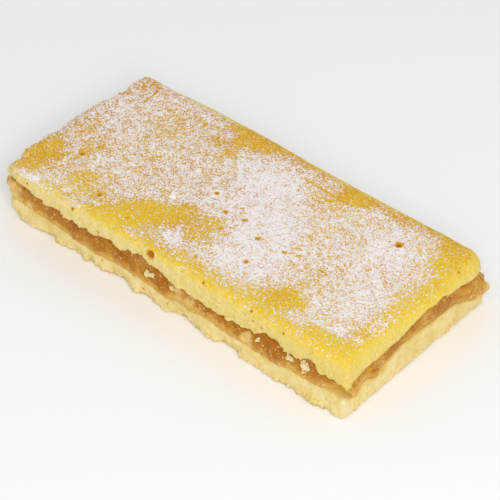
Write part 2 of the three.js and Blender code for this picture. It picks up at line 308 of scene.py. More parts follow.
for x, z, reach, amount in BASE_CHUNKS:
    away = np.hypot(points[:, 0] / MM - x, (points[:, 2] / MM - z)) / reach
    away = np.where(points[:, 1] > -26 * MM, 9, away + 0.5 * lumps(points, 1.1, 24))
    points[:, 1] -= front * amount * MM * (1 - ease(away, 0.35, 1))
points += shake(points, 1.6, 3) * (foot_tear * BASE_RAGGED * MM)[:, None] * (1, 1, 0.4)
points += shake(points, 0.7, 18) * (foot_tear * 0.5 * BASE_RAGGED * MM)[:, None] * (1, 1, 0.4)
pores = random_pits(points, upright > 0.95, BASE_PORES, (0.4, 1), seed=3)
pit_shade = dig(points, outward, BASE_PITS)
pore_shade = dig(points, outward, pores)
points[:, 2] = np.maximum(points[:, 2], 0)
move_to(base, points)
bpy.ops.object.shade_smooth()

soak = 1 - ease(near_fruit + 0.9 * lumps(points, 3, 4), 0.2, JUICE_REACH)
paint(base, "juice", soak)
toasted_foot = 1 - ease(height + 0.7 * lumps(points, 1.8, 5), 0, 1)
toasted_foot *= ease(lumps(points, 9, 6), -0.6, 0.2)
paint(base, "tray_browning", np.maximum(toasted_foot, ease(-outward[:, 2], 0.7, 0.95)))
# The pits and pores are painted darker in the material, as the shade inside them.
paint(base, "painted_pit_shade", np.maximum(pit_shade, 0.6 * pore_shade))
# Painted highlight: the crumb is painted paler round the near corner, where the light falls most.
from_corner = np.hypot(points[:, 0] / MM - 71.5, points[:, 1] / MM + 34.5)
paint(base, "near_corner_highlight", 0.7 - 0.7 * ease(from_corner + 2.5 * lumps(points, 2, 25), 0.5, 5))

# Baked shortcrust, cut: pale butter yellow, matt and a little translucent, with a mealy grain. The raised
# grain and the near corner are painted lighter as highlights, and the pits darker as shade.
tree, shader, where = new_material(base, "pale baked shortcrust")
blotch = add_node(tree, "ShaderNodeTexNoise", {"Vector": where, "Scale": per_mm(4), "Detail": 3})
blotch = add_node(tree, "ShaderNodeMapRange", {"Value": blotch, "From Min": 0.35, "From Max": 0.65})
grain = add_node(tree, "ShaderNodeTexNoise", {"Vector": where, "Scale": per_mm(0.8), "Detail": 3})
# Part crumb texture, part painted highlight: the raised tops of the mealy grain are painted lighter.
grain_highlight = add_node(
    tree, "ShaderNodeMapRange", {"Value": grain, "From Min": 0.4, "From Max": 0.75, "To Max": 0.5},
)
crumb = add_node(
    tree, "ShaderNodeMix",
    {"Factor": blotch, "A": linear("#dfc472"), "B": linear("#ecd99a")}, data_type="RGBA",
)
crumb = add_node(
    tree, "ShaderNodeMix",
    {"Factor": grain_highlight, "A": crumb, "B": linear("#eddba2")}, data_type="RGBA",
)
fleck = add_node(tree, "ShaderNodeTexNoise", {"Vector": where, "Scale": per_mm(1.1), "Detail": 2})
fleck = add_node(
    tree, "ShaderNodeMapRange", {"Value": fleck, "From Min": 0.66, "From Max": 0.72, "To Max": 0.6},
)
crumb = add_node(
    tree, "ShaderNodeMix", {"Factor": fleck, "A": crumb, "B": linear("#dcae45")}, data_type="RGBA",
)
# Painted highlight round the near corner.
near_corner_highlight = add_node(tree, "ShaderNodeAttribute", {}, outlet=2, attribute_name="near_corner_highlight")
crumb = add_node(
    tree, "ShaderNodeMix", {"Factor": near_corner_highlight, "A": crumb, "B": linear("#ebdcb0")}, data_type="RGBA",
)
juice = add_node(tree, "ShaderNodeAttribute", {}, outlet=2, attribute_name="juice")
juice = add_node(tree, "ShaderNodeMath", {0: juice, 1: 0.7}, operation="MULTIPLY")
crumb = add_node(
    tree, "ShaderNodeMix", {"Factor": juice, "A": crumb, "B": linear("#d8b056")}, data_type="RGBA",
)
browning = add_node(tree, "ShaderNodeAttribute", {}, outlet=2, attribute_name="tray_browning")
crumb = add_node(
    tree, "ShaderNodeMix",
    {"Factor": browning, "A": crumb, "B": linear("#cc9c40")}, data_type="RGBA",
)
# Painted shade: the pits and pores are painted a darker orange.
painted_pit_shade = add_node(tree, "ShaderNodeAttribute", {}, outlet=2, attribute_name="painted_pit_shade")
crumb = add_node(
    tree, "ShaderNodeMix", {"Factor": painted_pit_shade, "A": crumb, "B": linear("#d6a236")}, data_type="RGBA",
)
tree.links.new(crumb, shader.inputs["Base Color"])
shader.inputs["Roughness"].default_value = 0.85
shader.inputs["Specular IOR Level"].default_value = 0.25
shader.inputs["Subsurface Weight"].default_value = 0.2
shader.inputs["Subsurface Radius"].default_value = (1, 0.6, 0.25)
shader.inputs["Subsurface Scale"].default_value = 1.2 * MM
bump = add_node(tree, "ShaderNodeBump", {"Height": grain, "Strength": 0.6, "Distance": 0.25 * MM})
tree.links.new(bump, shader.inputs["Normal"])

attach(base, "root")
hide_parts("bottom_pastry")


# Filling ------------------------------------------------------------------------------------------
# Apple stewed soft with sugar: an amber, wet and lumpy paste that bulges out between the slabs, with
# pale shreds of fruit in it and small painted glints. It sinks back under the top slab, where it is
# painted darker as shade, and smears over the bottom one, where it is painted lighter as if lit.

FRUIT_VOXEL = 0.5 * MM
FRUIT_SWELL = 0.4  # mm up and down, so that it closes the gaps to both slabs
FRUIT_SLUMP = 0.6  # mm that its lower lip sinks onto the bottom slab
FRUIT_DROOP = 0.55  # mm that its lower half hangs out, but not at the near corner
FRUIT_FLAT = 0.45  # mm that its belly is pressed in along the cut front
FRUIT_SQUARE = 0.6  # mm that its upper edge is pressed out, as it's cut, not round
FRUIT_SHIFTS = [  # x, y, z, reach of places where it lies further in, and by how much in x and y
    (68.5, -34, 8.5, 7, 0, 2.3), (71, -32, 7.5, 4.5, 1.9, -0.4), (-73, -33, 10, 6, 0.3, 0.4),
    (-73, 21, 10.5, 10, 2, 0),
]
NEAR_CORNER = (69, -33, 8.5)  # where those shifts meet, and are smoothed out
FAN_MIDDLE = (60, 24)
FAN = [  # degrees and mm from FAN_MIDDLE of the flap at the back right corner, seen from above
    (-5, 13), (12, 14), (22, 14.2), (28, 14.7), (36.5, 16.3), (39.5, 14.6), (45, 14.1), (52, 14.4),
    (61, 13.5), (80, 11.3), (95, 10.9),
]
CHUNKS = 90
CHUNK_STEP = 0.2  # mm that one piece of fruit may stand before the next
PALE_FRUIT = [  # x, y, z, reach of places where the fruit is pale and pulpy
    (-71, -33, 10.5, 7), (2, -34, 10.2, 4), (71.5, 28.5, 7.5, 5), (70.5, -18, 7.5, 2.5),
    (7, -34, 8.5, 3), (-63, -32.5, 7.5, 2.5), (31, -34, 8, 3.5), (73.5, 33.5, 9.5, 4),
    (71, 5, 7.5, 4),
]
DARK_FRUIT = [  # and of places, high under the top slab, where it is painted darker brown
    (-51, -34, 12, 5.5), (-41, -34, 11, 7), (-22, -34, 12, 6), (-6, -34, 10.5, 5), (12, -34, 11.5, 3),
    (21, -34, 11, 4), (27, -34, 10.5, 3.5), (41, -34, 11, 8), (57, -34, 11.5, 5), (70, 14, 11, 7),
    (70, -10, 11, 6),
]

fruit = dough_from("apple_filling", "stewed_apple", FRUIT_VOXEL, covered=(1, -1))
points = places(fruit)
outward = directions(fruit)
near_base = distance_to("bottom_pastry", points)
near_crust = distance_to("top_pastry", points)
upright = 1 - ease(np.abs(outward[:, 2]), 0.75, 0.98)
points += outward * (0.3, 0.3, 1) * (FRUIT_SWELL * MM)
edge = np.abs(points[:, :2]).max(axis=0) - 4 * MM
rim = (np.abs(points[:, :2]) > edge).any(axis=1)
points[:, 2] -= rim * ease(-outward[:, 2], 0, 0.5) * FRUIT_SLUMP * MM
level_way = outward * (1, 1, 0)
level_way /= np.maximum(np.linalg.norm(level_way, axis=1), 0.3)[:, None]
near_corner = ease(points[:, 0] / MM, 58, 67) * ease(-points[:, 1] / MM, 22, 31)
droop = rim * (1 - ease(points[:, 2] / MM, 7.6, 10.4)) * (1 - 0.85 * near_corner)
points += level_way * (droop * FRUIT_DROOP * MM)[:, None]
belly = ease(points[:, 2] / MM, 7.2, 8.8) * (1 - ease(points[:, 2] / MM, 10.8, 12.2))
points[:, 1] += rim * belly * ease(-points[:, 1] / MM, 28, 31) * FRUIT_FLAT * MM
square = rim * ease(outward[:, 2], 0.1, 0.7) * (1 - ease(outward[:, 2], 0.93, 1))
points += level_way * (square * FRUIT_SQUARE * MM)[:, None]
for x, y, z, reach, *shift in FRUIT_SHIFTS:
    distance = np.linalg.norm(points - np.array((x, y, z)) * MM, axis=1) / (reach * MM)
    points[:, :2] += (1 - ease(distance, 0.3, 1))[:, None] * shift * MM
move_to(fruit, points)
centres = np.array([face.center for face in fruit.data.polygons])
select_faces(fruit, np.linalg.norm(centres - np.array(NEAR_CORNER) * MM, axis=1) < 6 * MM)
bpy.ops.mesh.vertices_smooth(factor=0.5, repeat=12)
bpy.ops.object.mode_set(mode="OBJECT")
points = places(fruit)
from_middle = points[:, :2] / MM - FAN_MIDDLE
turn = np.degrees(np.arctan2(from_middle[:, 1], from_middle[:, 0]))
far = np.maximum(np.linalg.norm(from_middle, axis=1), 1)
outline = np.interp(turn, *zip(*FAN)) - 0.9 * np.clip(points[:, 2] / MM - 10, 0, 3)
outline -= 1.3 * (1 - ease(points[:, 2] / MM, 7, 9))
pull = 0.85 * ease(far - outline, -4, -1.5) * ease(turn, -5, 12) * (1 - ease(turn, 75, 95))
points[:, :2] += from_middle * (pull * (outline / far - 1) * MM)[:, None]

draw = np.random.default_rng(5)
middles = points[draw.choice(np.flatnonzero(upright > 0.9), CHUNKS)]
chunks = KDTree(CHUNKS)
for i, middle in enumerate(middles):
    chunks.insert(middle, i)
chunks.balance()
found = [chunks.find_n(Vector(point), 2) for point in points + 1.2 * MM * shake(points, 2.5, 7)]
nearest = np.array([pair[0][1] for pair in found])
crease = ease(np.array([pair[1][2] - pair[0][2] for pair in found]) / MM, 0, 1.3)
step = draw.uniform(-1, 1, CHUNKS)[nearest] * crease - 0.2 * (1 - crease)
at_fan = ease((points[:, 0] + points[:, 1]) / MM, 88, 98)
bumpy = upright * (1 - 0.8 * np.maximum(at_fan, near_corner))
points += outward * (bumpy * CHUNK_STEP * MM * step)[:, None]
points += outward * (bumpy * 0.2 * MM * lumps(points, 1.8, 6))[:, None]
points += outward * (upright * 0.14 * MM * lumps(points, 0.8, 7))[:, None]
move_to(fruit, points)
bpy.ops.object.shade_smooth()

for name, spots in (("pale", PALE_FRUIT), ("dark", DARK_FRUIT)):
    amount = np.zeros(len(points))
    for x, y, z, reach in spots:
        distance = np.linalg.norm(points - np.array((x, y, z)) * MM, axis=1) / (reach * MM)
        amount = np.maximum(amount, 1 - ease(distance + 0.4 * lumps(points, 2, 8), 0.3, 1))
    paint(fruit, name, amount)
right_side = ease(points[:, 0] / MM, 64, 69)
# Painted shade: the filling is painted darker under the top slab, less so at the right end and the fan.
painted_shade_under_crust = 1 - ease(near_crust + 0.8 * lumps(points, 3, 9), 0.2, 3.8 - 1.8 * right_side)
painted_shade_under_crust *= 1 - 0.7 * right_side * ease(points[:, 1] / MM, 16, 28)
paint(fruit, "painted_shade_under_crust", painted_shade_under_crust)
# Painted light: the filling is painted lighter near the bottom slab, where it is lit, and so it runs into
# the juice stain there.
paint(fruit, "painted_light_near_base", 1 - ease(near_base + 0.7 * lumps(points, 2, 10), 0.3, 2.6))
# Each chunk of fruit has its own tone, paler towards the right end and the fan; the creases between
# chunks are painted darker as the shade in them.
tone_and_crease_shade = 0.2 + 0.6 * draw.uniform(0, 1, CHUNKS)[nearest] * crease + 0.25 * right_side
paint(fruit, "chunk_tone_crease_shade", tone_and_crease_shade + 0.15 * at_fan)

tree, shader, where = new_material(fruit, "stewed apple")
pulp = add_node(tree, "ShaderNodeTexNoise", {"Vector": where, "Scale": per_mm(1.8), "Detail": 3})
pulp = add_node(
    tree, "ShaderNodeMapRange",
    {"Value": pulp, "From Min": 0.3, "From Max": 0.7, "To Min": -0.25, "To Max": 0.25},
)
# Chunk tone, with painted shade in the creases between chunks.
tone_and_crease_shade = add_node(tree, "ShaderNodeAttribute", {}, outlet=2, attribute_name="chunk_tone_crease_shade")
tone_and_crease_shade = add_node(tree, "ShaderNodeMath", {0: tone_and_crease_shade, 1: pulp}, operation="ADD", use_clamp=True)
flesh = add_node(
    tree, "ShaderNodeMix",
    {"Factor": tone_and_crease_shade, "A": linear("#ab6a0b"), "B": linear("#cb9636")}, data_type="RGBA",
)
# Painted light near the bottom slab.
lip = add_node(tree, "ShaderNodeAttribute", {}, outlet=2, attribute_name="painted_light_near_base")
lip = add_node(tree, "ShaderNodeMath", {0: lip, 1: 0.95}, operation="MULTIPLY")
flesh = add_node(
    tree, "ShaderNodeMix", {"Factor": lip, "A": flesh, "B": linear("#d9ad52")}, data_type="RGBA",
)
# Painted shade under the top slab, together with the darker spots.
deep_shade_and_dark_spots = add_node(tree, "ShaderNodeAttribute", {}, outlet=2, attribute_name="painted_shade_under_crust")
dark = add_node(tree, "ShaderNodeAttribute", {}, outlet=2, attribute_name="dark")
deep_shade_and_dark_spots = add_node(tree, "ShaderNodeMath", {0: deep_shade_and_dark_spots, 1: dark}, operation="MAXIMUM")
deep_shade_and_dark_spots = add_node(tree, "ShaderNodeMath", {0: deep_shade_and_dark_spots, 1: 0.75}, operation="MULTIPLY")
flesh = add_node(
    tree, "ShaderNodeMix", {"Factor": deep_shade_and_dark_spots, "A": flesh, "B": linear("#ad6a0e")}, data_type="RGBA",
)
pale_share = add_node(tree, "ShaderNodeAttribute", {}, outlet=2, attribute_name="pale")
pale_share = add_node(tree, "ShaderNodeMath", {0: pale_share, 1: 0.85}, operation="MULTIPLY")
flesh = add_node(
    tree, "ShaderNodeMix",
    {"Factor": pale_share, "A": flesh, "B": linear("#e6c97c")}, data_type="RGBA",
)
# Painted glints: small pale flecks, in patches, stand in for highlights on the wet fruit; the same noise
# bumps its surface.
glint_noise = add_node(tree, "ShaderNodeTexNoise", {"Vector": where, "Scale": per_mm(0.7), "Detail": 2})
fleck = add_node(
    tree, "ShaderNodeMapRange", {"Value": glint_noise, "From Min": 0.63, "From Max": 0.68, "To Max": 0.8},
)
patch = add_node(tree, "ShaderNodeTexNoise", {"Vector": where, "Scale": per_mm(6), "Detail": 1})
patch = add_node(tree, "ShaderNodeMapRange", {"Value": patch, "From Min": 0.38, "From Max": 0.52})
fleck = add_node(tree, "ShaderNodeMath", {0: fleck, 1: patch}, operation="MULTIPLY")
flesh = add_node(
    tree, "ShaderNodeMix", {"Factor": fleck, "A": flesh, "B": linear("#f0dcb4")}, data_type="RGBA",
)
tree.links.new(flesh, shader.inputs["Base Color"])
shader.inputs["Roughness"].default_value = 0.22
shader.inputs["Specular IOR Level"].default_value = 0.2
shader.inputs["Subsurface Weight"].default_value = 0.3
shader.inputs["Subsurface Radius"].default_value = (1, 0.6, 0.2)
shader.inputs["Subsurface Scale"].default_value = 1.2 * MM
bump = add_node(tree, "ShaderNodeBump", {"Height": glint_noise, "Strength": 0.7, "Distance": 0.4 * MM})
tree.links.new(bump, shader.inputs["Normal"])

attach(fruit, "root")
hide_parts("apple_filling")


# Top slab -----------------------------------------------------------------------------------------
# The upper layer of the same shortcrust, golden where the oven heat reached it. Its front and left
# sides are cut, with a dragged and torn face, and its back and right edges are soft and rounded.

CRUST_VOXEL = 0.55 * MM
CRUST_LUMP = 0.14
CRUST_TEAR = 0.35
CRUST_RAGGED = 0.95  # mm that its edges are torn in and out
LEFT_TRIM = [  # y and the mm that the left end lies further in, or out at its back corner
    (8, 0), (16, 1), (22, 1.6), (25.5, 0.8), (28, -0.6), (32, -1.5),
]
CUT_FADE = [  # x and the mm below the crust at which its gold has gone there
    (-60, 1.8), (-46, 1.4), (-34, 2.5), (8, 3.1), (60, 4.2),
]
CRUST_PITS = [  # on the cut front: a burst bubble, then pores
    (-8.4, -34, 19.3, 3.6, 1.2), (-42, -34, 19.3, 1.5, 0.6), (-61.7, -34, 18.8, 1, 0.4),
    (-30.7, -34, 16, 1.3, 0.4), (37, -34, 16.7, 1.2, 0.5), (45.8, -34, 19.7, 1, 0.4),
    (13.1, -34, 20.9, 1.2, 0.4), (32.8, -34, 20.5, 1.1, 0.3), (33.8, -34, 17.5, 1, 0.3),
]
FORK_HOLES = [  # on the crust: x, y, width, depth
    (-57.4, -13, 1.65, 0.9), (-38.8, -24.5, 1.7, 0.9), (-49.5, -21.5, 1, 0.4), (-46.5, -22, 1, 0.4),
    (-65, -5, 1.2, 0.4), (-11.4, 0.5, 1.6, 0.4), (-2.8, -4.6, 1.6, 0.7), (4.3, -4.2, 1.4, 0.5),
    (-0.5, 0, 1, 0.4), (12.7, -8.2, 1.4, 0.6), (23.5, -7.4, 1.3, 0.5), (17.4, -18.2, 1.6, 0.5),
    (4, -26.5, 1.1, 0.5), (47.3, 18.5, 2.6, 0.7), (-24, -27, 0.9, 0.3), (-46, -31, 1, 0.4),
    (1.2, -12, 1.3, 0.3), (-61.5, 27, 1, 0.4), (-29.5, 21, 1, 0.4), (69.3, 22, 1.2, 0.4),
]
CREASES = [  # thin lines in the crust: from x, y to x, y
    (5, 24.3, 23, 23.6), (-61.5, 27, -61, 20), (-38, 25, -37.5, 22),
]
SUGAR_OVERALL = 0.7
SUGAR_DRIFTS = [  # x, y, half length, half width, turn in degrees, more or less sugar than overall
    (-2, 16, 14, 9, -12, 0.3), (8, 3, 16, 11, -50, 0.3), (16, -10, 14, 10, -70, 0.28),
    (13, -20, 11, 7, 0, 0.22), (-6, -1, 8, 8, 0, 0.2), (45, 3, 19, 26, 0, 0.12),
    (46, 14, 7, 12, 12, 0.18), (57, -12, 6, 14, 0, 0.12), (-62, 10, 9, 16, 0, 0.07),
    (-62, -32.6, 5.5, 2, 0, 0.6), (-5, -27, 5, 3, -45, 0.35), (-20, -30, 7, 2, 0, 0.25),
    (68, -14, 4, 6, 0, 0.45),
    (-20, 30, 11, 6, 0, -0.85), (-22, 20, 3, 5, 0, -0.45), (-29, 21, 3, 3, 0, -0.35),
    (23, 28.5, 7, 5, 0, -0.85), (17, 20, 6, 5, 0, -0.3), (68, 28, 10, 12, 20, -0.9),
    (71, 0, 8, 60, 0, -0.6), (-20, -21, 16, 6.5, 38, -0.85), (-2, -17, 5, 7, -20, -0.45),
    (37, -24, 8, 5, 20, -0.75), (38, -13, 3.5, 7, -15, -0.3), (-68, -21, 7, 9, -10, -0.8),
    (-57, -9, 3, 6, 0, -0.35), (-65, -3, 3, 7, 0, -0.2), (-46, -23, 12, 5, -15, -0.4),
    (-42, -31, 11, 2.5, 0, 0.17), (3, 32, 13, 3.5, 0, -0.4), (45, 31.5, 20, 4, 0, -0.5),
    (0, -35, 90, 7, 0, -0.5), (62, -30, 12, 4, 0, -0.4), (0, 36, 90, 5, 0, -0.45),
    (-46, 17, 6, 7, 0, -0.15), (-67, 29, 7, 5, 0, -0.2),
]


def sugar_share(points):
    """How much of the crust the icing sugar covers at each point, from 0 to 1."""
    x = points[:, 0] / MM + 1.6 * lumps(points, 5, 9)
    y = points[:, 1] / MM + 1.6 * lumps(points, 5, 10)
    share = SUGAR_OVERALL + 0.13 * lumps(points, 3.5, 11, octaves=3)
    for middle_x, middle_y, length, width, degrees, amount in SUGAR_DRIFTS:
        turn = math.radians(degrees)
        along = ((x - middle_x) * math.cos(turn) + (y - middle_y) * math.sin(turn)) / length
        across = ((y - middle_y) * math.cos(turn) - (x - middle_x) * math.sin(turn)) / width
        share += amount * np.exp(-(along**2 + across**2) ** 2)
    return np.clip(share, 0, 1)


crust = dough_from("top_pastry", "golden_crust", CRUST_VOXEL, covered=(-1,))
points = places(crust)
outward = directions(crust)
level = outward[:, 2] > 0.98
ones = np.ones(len(points))
slope = np.linalg.lstsq(
    np.column_stack([points[level, :2], ones[level]]), points[level, 2], rcond=None,
)[0]
below_crust = (np.column_stack([points[:, :2], ones]) @ slope - points[:, 2]) / MM
upright = 1 - ease(np.abs(outward[:, 2]), 0.6, 0.95)
cut = np.maximum(ease(-points[:, 1] / MM, 29, 32), ease(-points[:, 0] / MM, 66, 69))
rough = upright * (0.7 + 0.3 * cut)
points += outward * (rough * CRUST_LUMP * MM * lumps(points, 2.4, 12))[:, None]
points += outward * (rough * CRUST_TEAR * MM * (0.5 - tears(points, 1.1, 13)))[:, None]
drag = points * (0.3, 1, 1.6)
points += outward * (cut * upright * 0.15 * MM * lumps(drag, 1.1, 15))[:, None]
low_rim = ease(-outward[:, 2], 0.05, 0.5) * (1 - ease(-outward[:, 2], 0.85, 1))
left_end = ease(-points[:, 0] / MM, 66, 70)
torn = np.maximum(0.35 * rough, low_rim * (0.2 + 0.8 * cut)) + left_end
torn *= 0.45 + 0.55 * ease(lumps(points, 6, 22), -0.3, 0.3)
torn *= 1 - 0.4 * ease(points[:, 0] / MM, -35, -10)
points += shake(points, 3.4, 23) * (low_rim * cut * CRUST_RAGGED * MM)[:, None]
points += shake(points, 1.5, 16) * (torn * (0.45 + 0.3 * left_end) * CRUST_RAGGED * MM)[:, None]
points += shake(points, 0.7, 19) * (torn * 0.3 * CRUST_RAGGED * MM)[:, None]
points += outward * ((1 - upright) * 0.1 * MM * lumps(points, 5, 14))[:, None]
points += outward * ((1 - upright) * 0.05 * MM * lumps(points, 1.6, 17))[:, None]
back_corner = ease((points[:, 0] + points[:, 1]) / MM, 88, 102) * 0.6 * MM
points[:, :2] -= back_corner[:, None] * (0.75, 0.66)
left_trim = np.interp(points[:, 1] / MM, *zip(*LEFT_TRIM)) * ease(-points[:, 0] / MM, 60, 67)
points[:, 0] += left_trim * MM
crease_shade = np.zeros(len(points))
for line in CREASES:
    start, end = np.array(line[:2]), np.array(line[2:])
    along = ((points[:, :2] / MM - start) @ (end - start)) / ((end - start) @ (end - start))
    foot_point = start + np.clip(along, 0, 1)[:, None] * (end - start)
    away = np.linalg.norm(points[:, :2] / MM - foot_point, axis=1)
    crease_shade = np.maximum(crease_shade, (1 - ease(away, 0.1, 0.6)) * (outward[:, 2] > 0.8))
points[:, 2] -= 0.15 * MM * crease_shade
holes = [(x, y, 22, width, depth) for x, y, width, depth in FORK_HOLES]
pores = random_pits(points, upright * cut > 0.95, 35, (0.4, 0.9), seed=16)
hole_shade = dig(points, outward, CRUST_PITS + holes)
pore_shade = dig(points, outward, pores)
move_to(crust, points)
bpy.ops.object.shade_smooth()

share = sugar_share(points) * (1 - ease(below_crust, 0.8, 2.6)) * (1 - hole_shade)
share = np.where(outward[:, 2] < 0.2, 0, share) - 0.6 * ease(below_crust, 1, 2.6)
share = np.where(hole_shade > 0.4, -1, share - 0.8 * crease_shade)
fade = np.interp(points[:, 0] / MM, *zip(*CUT_FADE))
paint(crust, "sugar", share)
# Painted shade: the crust is painted darker gold among the sugar, as the shade between its grains, more
# so on the left.
paint(crust, "painted_sugar_gap_shade", np.clip(share, 0, 1) * (1 - 0.8 * ease(points[:, 0] / MM, -15, 35)))
paint(crust, "below_crust", np.clip(below_crust / fade, 0, 1))
paint(crust, "buttery", 0.35 + 0.4 * ease(points[:, 0] / MM + 0.5 * points[:, 1] / MM, -50, 80))
# Painted shade in the pits, fork holes and creases.
paint(crust, "painted_pit_shade", np.maximum(np.maximum(hole_shade, 0.5 * pore_shade), 0.6 * crease_shade))
toasted = 0.45 + 0.3 * lumps(points, 14, 17) - 0.5 * ease(-points[:, 1] / MM, 22, 33)
toasted += 0.3 * ease(-points[:, 0] / MM, 50, 70) + 0.3 * ease(points[:, 1] / MM, 20, 32)
toasted -= 0.3 * ease(points[:, 0] / MM, 55, 70)
paint(crust, "toasted", np.clip(toasted, 0, 1))

tree, shader, where = new_material(crust, "golden crust under icing sugar")
mottle = add_node(tree, "ShaderNodeTexNoise", {"Vector": where, "Scale": per_mm(0.7), "Detail": 4})
mottle = add_node(
    tree, "ShaderNodeMapRange",
    {"Value": mottle, "From Min": 0.3, "From Max": 0.7, "To Min": -0.5, "To Max": 0.5},
)
toast = add_node(tree, "ShaderNodeAttribute", {}, outlet=2, attribute_name="toasted")
toast = add_node(tree, "ShaderNodeMath", {0: toast, 1: mottle}, operation="ADD", use_clamp=True)
gold = add_node(
    tree, "ShaderNodeMix",
    {"Factor": toast, "A": linear("#e9c740"), "B": linear("#d59a2c")}, data_type="RGBA",
)
# Painted shade among the sugar.
sugar_gap_shade = add_node(tree, "ShaderNodeAttribute", {}, outlet=2, attribute_name="painted_sugar_gap_shade")
sugar_gap_shade = add_node(tree, "ShaderNodeMath", {0: sugar_gap_shade, 1: 0.6}, operation="MULTIPLY")
gold = add_node(
    tree, "ShaderNodeMix", {"Factor": sugar_gap_shade, "A": gold, "B": linear("#c48c2c")}, data_type="RGBA",
)
depth = add_node(tree, "ShaderNodeAttribute", {}, outlet=2, attribute_name="below_crust")
grain = add_node(tree, "ShaderNodeTexNoise", {"Vector": where, "Scale": per_mm(0.6), "Detail": 3})
ragged = add_node(
    tree, "ShaderNodeMapRange",
    {"Value": grain, "From Min": 0.3, "From Max": 0.7, "To Min": -0.12, "To Max": 0.12},
)
depth = add_node(tree, "ShaderNodeMath", {0: depth, 1: ragged}, operation="ADD")
long_way = add_node(tree, "ShaderNodeMapping", {"Vector": where, "Scale": (0.25, 1, 1)})
streak = add_node(tree, "ShaderNodeTexNoise", {"Vector": long_way, "Scale": per_mm(0.9), "Detail": 3})
streak = add_node(
    tree, "ShaderNodeMapRange",
    {"Value": streak, "From Min": 0.3, "From Max": 0.7, "To Min": -0.25, "To Max": 0.25},
)
depth = add_node(tree, "ShaderNodeMath", {0: depth, 1: streak}, operation="ADD")
edge_share = add_node(
    tree, "ShaderNodeMapRange", {"Value": depth, "From Min": 0.1, "From Max": 0.4},
)
crumb_share = add_node(
    tree, "ShaderNodeMapRange", {"Value": depth, "From Min": 0.3, "From Max": 0.95},
)
colour = add_node(
    tree, "ShaderNodeMix",
    {"Factor": edge_share, "A": gold, "B": linear("#e8cb4c")}, data_type="RGBA",
)
buttery = add_node(tree, "ShaderNodeAttribute", {}, outlet=2, attribute_name="buttery")
meal = add_node(tree, "ShaderNodeTexNoise", {"Vector": where, "Scale": per_mm(0.9), "Detail": 4})
meal = add_node(
    tree, "ShaderNodeMapRange",
    {"Value": meal, "From Min": 0.35, "From Max": 0.65, "To Min": -0.35, "To Max": 0.35},
)
buttery = add_node(tree, "ShaderNodeMath", {0: buttery, 1: meal}, operation="ADD", use_clamp=True)
crumb = add_node(
    tree, "ShaderNodeMix",
    {"Factor": buttery, "A": linear("#ecdba0"), "B": linear("#e2c65c")}, data_type="RGBA",
)
fleck = add_node(tree, "ShaderNodeTexNoise", {"Vector": where, "Scale": per_mm(1), "Detail": 2})
fleck = add_node(
    tree, "ShaderNodeMapRange", {"Value": fleck, "From Min": 0.65, "From Max": 0.71, "To Max": 0.6},
)
crumb = add_node(
    tree, "ShaderNodeMix", {"Factor": fleck, "A": crumb, "B": linear("#dba83e")}, data_type="RGBA",
)
colour = add_node(
    tree, "ShaderNodeMix", {"Factor": crumb_share, "A": colour, "B": crumb}, data_type="RGBA",
)
# Painted shade: pits, fork holes and creases are painted a darker orange, and the middle of the deepest a
# darker brown still.
painted_pit_shade = add_node(tree, "ShaderNodeAttribute", {}, outlet=2, attribute_name="painted_pit_shade")
colour = add_node(
    tree, "ShaderNodeMix", {"Factor": painted_pit_shade, "A": colour, "B": linear("#cc8f20")}, data_type="RGBA",
)
painted_pit_floor_shade = add_node(tree, "ShaderNodeMapRange", {"Value": painted_pit_shade, "From Min": 0.7, "To Max": 0.8})
colour = add_node(
    tree, "ShaderNodeMix",
    {"Factor": painted_pit_floor_shade, "A": colour, "B": linear("#a8661a")}, data_type="RGBA",
)

# Short wrinkles in the crust: thin contour lines of a soft noise, kept in some places only. The sugar is
# thinner in them, and they are painted darker gold as the shade in each crease.
wrinkle_shade = add_node(tree, "ShaderNodeTexNoise", {"Vector": where, "Scale": per_mm(4), "Detail": 2})
wrinkle_shade = add_node(tree, "ShaderNodeMath", {0: wrinkle_shade, 1: 0.5}, operation="SUBTRACT")
wrinkle_shade = add_node(tree, "ShaderNodeMath", {0: wrinkle_shade}, operation="ABSOLUTE")
wrinkle_shade = add_node(
    tree, "ShaderNodeMapRange", {"Value": wrinkle_shade, "From Max": 0.02, "To Min": 1, "To Max": 0},
)
patch = add_node(tree, "ShaderNodeTexNoise", {"Vector": where, "Scale": per_mm(6), "Detail": 1})
patch = add_node(tree, "ShaderNodeMapRange", {"Value": patch, "From Min": 0.46, "From Max": 0.54})
wrinkle_shade = add_node(tree, "ShaderNodeMath", {0: wrinkle_shade, 1: patch}, operation="MULTIPLY")
wrinkle_shade = add_node(tree, "ShaderNodeMath", {0: wrinkle_shade, 1: sugar_gap_shade}, operation="MULTIPLY")

# How thick the sugar lies, in steps of one full cover. Thin sugar lets the crust show through.
cells = add_node(tree, "ShaderNodeTexVoronoi", {"Vector": where, "Scale": per_mm(0.45)}, outlet=1)
cell = add_node(tree, "ShaderNodeSeparateColor", {"Color": cells})
stray = add_node(tree, "ShaderNodeSeparateColor", {"Color": cells}, outlet=1)
stray = add_node(
    tree, "ShaderNodeMapRange", {"Value": stray, "From Min": 0.88, "From Max": 0.93, "To Max": 3},
)
speck = add_node(tree, "ShaderNodeTexNoise", {"Vector": where, "Scale": per_mm(0.6), "Detail": 2})
clot = add_node(tree, "ShaderNodeTexNoise", {"Vector": where, "Scale": per_mm(2), "Detail": 2})
thick = add_node(tree, "ShaderNodeAttribute", {}, outlet=2, attribute_name="sugar")
thick = add_node(tree, "ShaderNodeMath", {0: thick, 1: 4.2, 2: -9.4}, operation="MULTIPLY_ADD")
thick = add_node(tree, "ShaderNodeMath", {0: cell, 1: 3.2, 2: thick}, operation="MULTIPLY_ADD")
thick = add_node(tree, "ShaderNodeMath", {0: thick, 1: stray}, operation="ADD")
